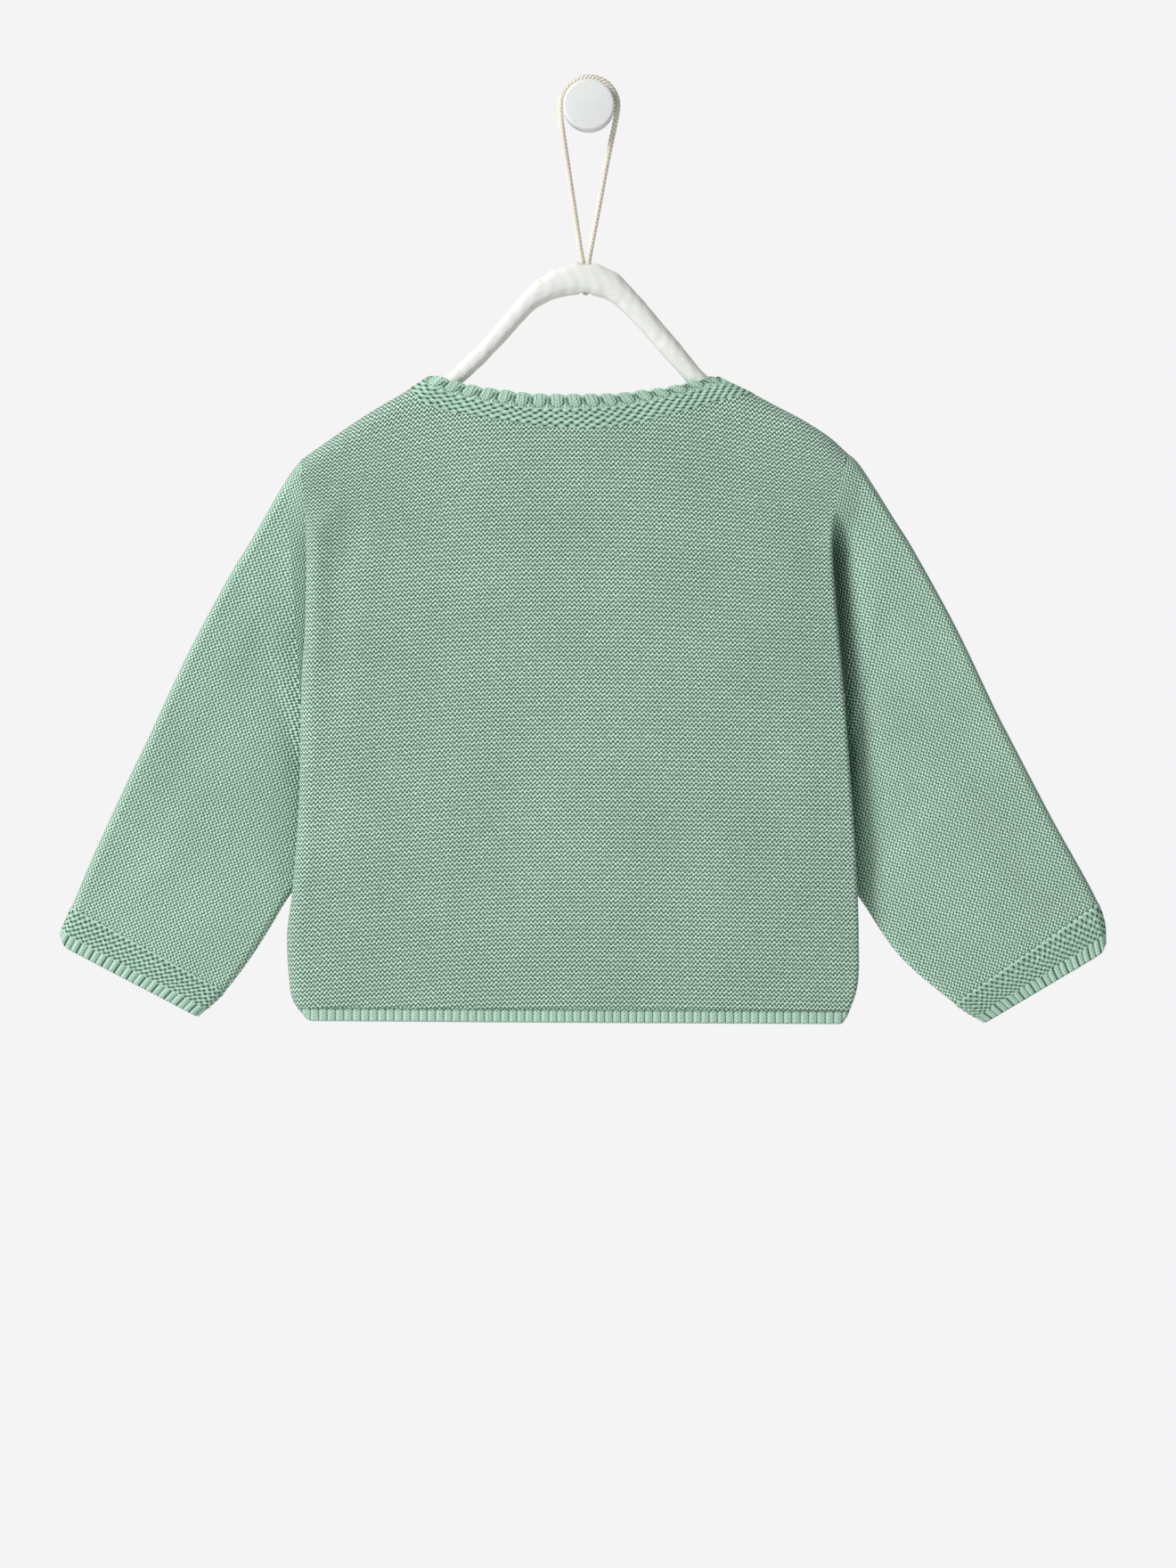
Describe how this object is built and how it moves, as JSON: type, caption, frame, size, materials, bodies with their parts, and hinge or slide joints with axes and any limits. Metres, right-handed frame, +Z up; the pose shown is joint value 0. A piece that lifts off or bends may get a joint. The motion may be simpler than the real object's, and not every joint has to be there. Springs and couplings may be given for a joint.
{
  "type": "baby cardigan on a wooden hanger with its cord loop and wall peg",
  "caption": "Long-sleeved knitted baby cardigan with a scalloped neckband, ribbed hem and cuffs, hanging back outwards on a bent wooden hanger from a round wall peg.",
  "frame": {"origin": "centre of the peg's back face, on the wall", "axes": "+Z up, +Y into the wall, +X to the right of someone who faces the wall, which is also the wearer's right"},
  "size_m": [0.4975, 0.026, 0.4475],
  "materials": {
    "knit": "pale green cotton knitting, purl side out",
    "button": "satin cream",
    "painted_wood": "chalky white paint with brush marks",
    "cord": "natural twisted cotton",
    "painted_peg": "smooth white paint"
  },
  "bodies": {
    "root": {"back": "knit", "back_hem": "knit", "neckband_back": "knit", "left_front": "knit", "neckband_left": "knit", "left_front_hem": "knit", "left_front_band": "knit", "left_sleeve": "knit", "left_cuff": "knit", "right_front": "knit", "neckband_right": "knit", "right_front_hem": "knit", "right_front_band": "knit", "right_sleeve": "knit", "right_cuff": "knit", "button_1": "button", "button_2": "button", "button_3": "button", "button_4": "button", "button_5": "button", "hanger": "painted_wood", "hanging_loop": "cord", "loop_knot": "cord", "wall_peg": "painted_peg"}
  },
  "joints": []
}
